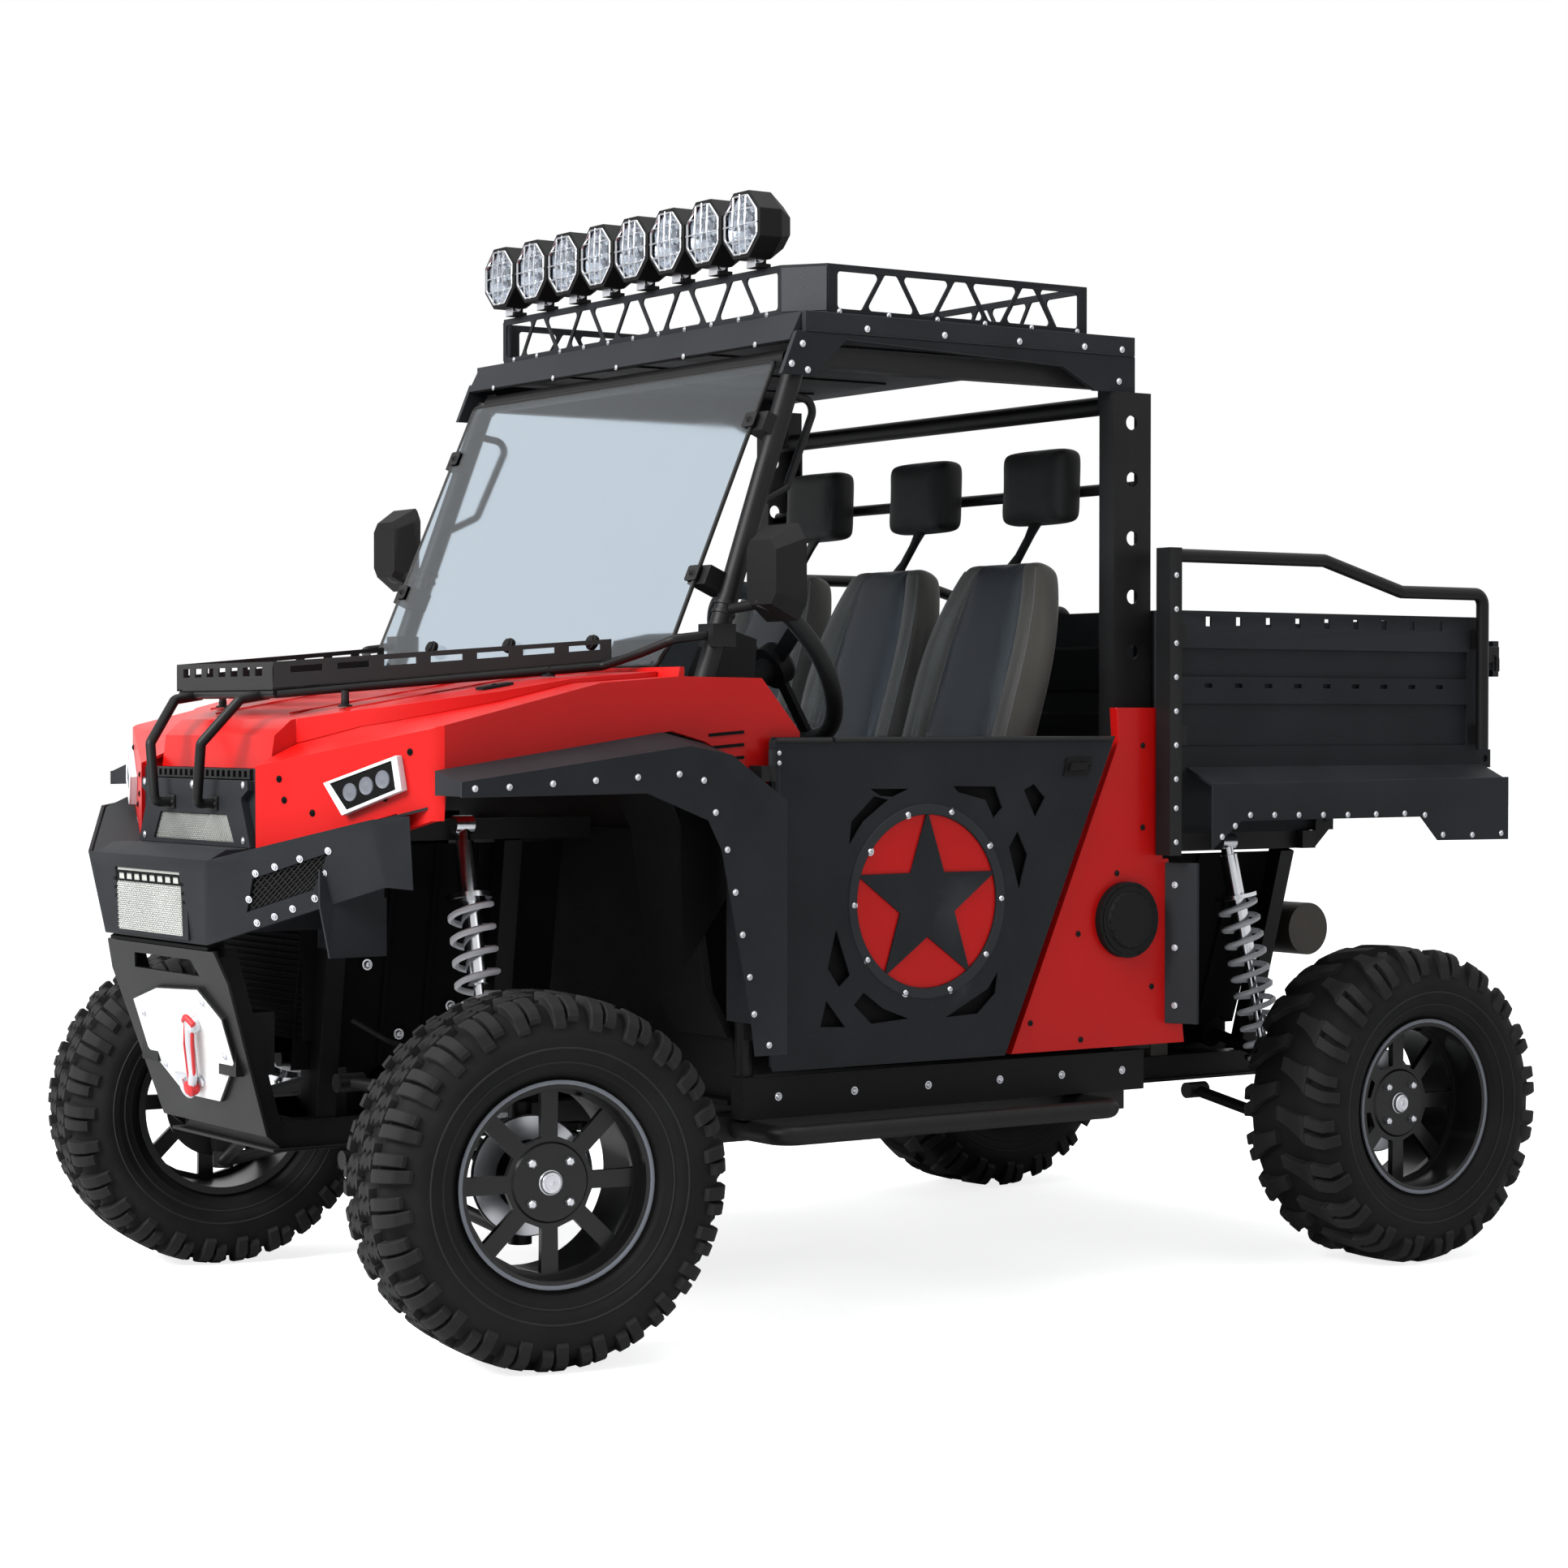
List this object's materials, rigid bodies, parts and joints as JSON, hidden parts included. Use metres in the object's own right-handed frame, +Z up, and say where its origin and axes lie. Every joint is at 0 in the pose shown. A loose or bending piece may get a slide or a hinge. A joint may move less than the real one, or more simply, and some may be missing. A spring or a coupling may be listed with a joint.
{
  "type": "side by side utility vehicle",
  "caption": "Full-size side by side utility vehicle with roll cage, roof rack and lamps, half doors, three seats and a dump bed; wheels, steering, doors, bed and tailgate move.",
  "frame": {"origin": "on the ground, below the middle of the whole vehicle's box", "axes": "+Z up, -Y towards the front bumper, +X towards the driver's side"},
  "size_m": [1.7882, 2.976, 2.212],
  "materials": {
    "frame_black": "satin black powder coat",
    "plate_grey": "textured dark grey powder coat",
    "body_red": "glossy red moulded panel",
    "black_plastic": "grained black plastic",
    "tyre": "black tyre rubber",
    "rim_black": "semi-gloss black rim",
    "silver": "bare aluminium",
    "chrome": "bright damper tube",
    "glass": "clear, slightly blue",
    "vinyl": "dark grey seat vinyl",
    "lamp": "clear ribbed lens",
    "engine_metal": "cast and heat-stained metal"
  },
  "bodies": {
    "chassis": {"main_frame": "frame_black", "skid_plate": "black_plastic", "floor_pan": "black_plastic", "engine": "engine_metal", "drive_line": "frame_black", "suspension_arms": "frame_black", "dampers": "chrome", "coil_springs": "silver", "hood": "body_red", "front_panels": "body_red", "headlamps": "lamp", "grille": "plate_grey", "bumper": "plate_grey", "winch": "frame_black", "front_flares": "plate_grey", "arch_liners": "black_plastic", "quarter_panels": "body_red", "fuel_cap": "black_plastic", "mudguards": "plate_grey", "running_boards": "frame_black", "cage": "frame_black", "windscreen": "glass", "roof": "plate_grey", "roof_rack": "plate_grey", "roof_lamps": "lamp", "hood_rack": "frame_black", "mirrors": "black_plastic", "dashboard": "black_plastic", "seat_base": "black_plastic", "seat_cushions": "vinyl", "seat_backs": "vinyl", "headrests": "vinyl"},
    "knuckle_left": {"knuckle_left": "frame_black"},
    "knuckle_right": {"knuckle_right": "frame_black"},
    "wheel_front_left": {"tyre_front_left": "tyre", "rim_front_left": "rim_black"},
    "wheel_front_right": {"tyre_front_right": "tyre", "rim_front_right": "rim_black"},
    "wheel_rear_left": {"tyre_rear_left": "tyre", "rim_rear_left": "rim_black"},
    "wheel_rear_right": {"tyre_rear_right": "tyre", "rim_rear_right": "rim_black"},
    "steering_wheel": {"steering_wheel": "black_plastic"},
    "tie_rods": {"tie_rods": "frame_black"},
    "door_left": {"door_left": "plate_grey", "star_disc_left": "body_red"},
    "door_right": {"door_right": "plate_grey", "star_disc_right": "body_red"},
    "bed": {"bed_tub": "plate_grey", "bed_rails": "plate_grey", "bed_flares": "plate_grey"},
    "tailgate": {"tailgate": "plate_grey"}
  },
  "joints": [
    {"name": "steer_left", "type": "hinge", "parent": "chassis", "child": "knuckle_left", "pos_m": [0.64, -1.03, 0.34], "axis": [0, 0, 1], "range_deg": [-19.1, 36.9]},
    {"name": "steer_right", "type": "hinge", "parent": "chassis", "child": "knuckle_right", "pos_m": [-0.64, -1.03, 0.34], "axis": [0, 0, 1], "range_deg": [-19.1, 36.9]},
    {"name": "steering_wheel_turn", "type": "hinge", "parent": "chassis", "child": "steering_wheel", "pos_m": [0.37, -0.28, 1.284], "axis": [0, 0.8629, 0.5054], "range_deg": [-171.9, 332.1]},
    {"name": "rack_slide", "type": "slide", "parent": "chassis", "child": "tie_rods", "axis": [1, 0, 0], "range_m": [-0.07136, 0.03704]},
    {"name": "spin_front_left", "type": "hinge", "parent": "knuckle_left", "child": "wheel_front_left", "pos_m": [0.72398, -1.04315, 0.34], "axis": [0.988, -0.1547, 0], "continuous": true},
    {"name": "spin_rear_left", "type": "hinge", "parent": "chassis", "child": "wheel_rear_left", "pos_m": [0.725, 1.103, 0.34], "axis": [1, 0, 0], "continuous": true},
    {"name": "spin_front_right", "type": "hinge", "parent": "knuckle_right", "child": "wheel_front_right", "pos_m": [-0.72398, -1.01685, 0.34], "axis": [0.988, -0.1547, 0], "continuous": true},
    {"name": "spin_rear_right", "type": "hinge", "parent": "chassis", "child": "wheel_rear_right", "pos_m": [-0.725, 1.103, 0.34], "axis": [1, 0, 0], "continuous": true},
    {"name": "door_left_swing", "type": "hinge", "parent": "chassis", "child": "door_left", "pos_m": [0.718, -0.522, 0.8], "axis": [0, 0, -1], "range_deg": [0, 65]},
    {"name": "door_right_swing", "type": "hinge", "parent": "chassis", "child": "door_right", "pos_m": [-0.718, -0.522, 0.8], "axis": [0, 0, 1], "range_deg": [0, 65]},
    {"name": "bed_tilt", "type": "hinge", "parent": "chassis", "child": "bed", "pos_m": [0, 1.25, 0.95], "axis": [-1, 0, 0], "range_deg": [0, 40]},
    {"name": "tailgate_drop", "type": "hinge", "parent": "bed", "child": "tailgate", "pos_m": [0, 1.415, 1.086], "axis": [-1, 0, 0], "range_deg": [0, 90]}
  ],
  "couplings": [
    {"joint": "steer_right", "follows": "steer_left", "ratio": 1},
    {"joint": "steering_wheel_turn", "follows": "steer_left", "ratio": 9},
    {"joint": "rack_slide", "follows": "steer_left", "m_per_rad": -0.1105}
  ]
}
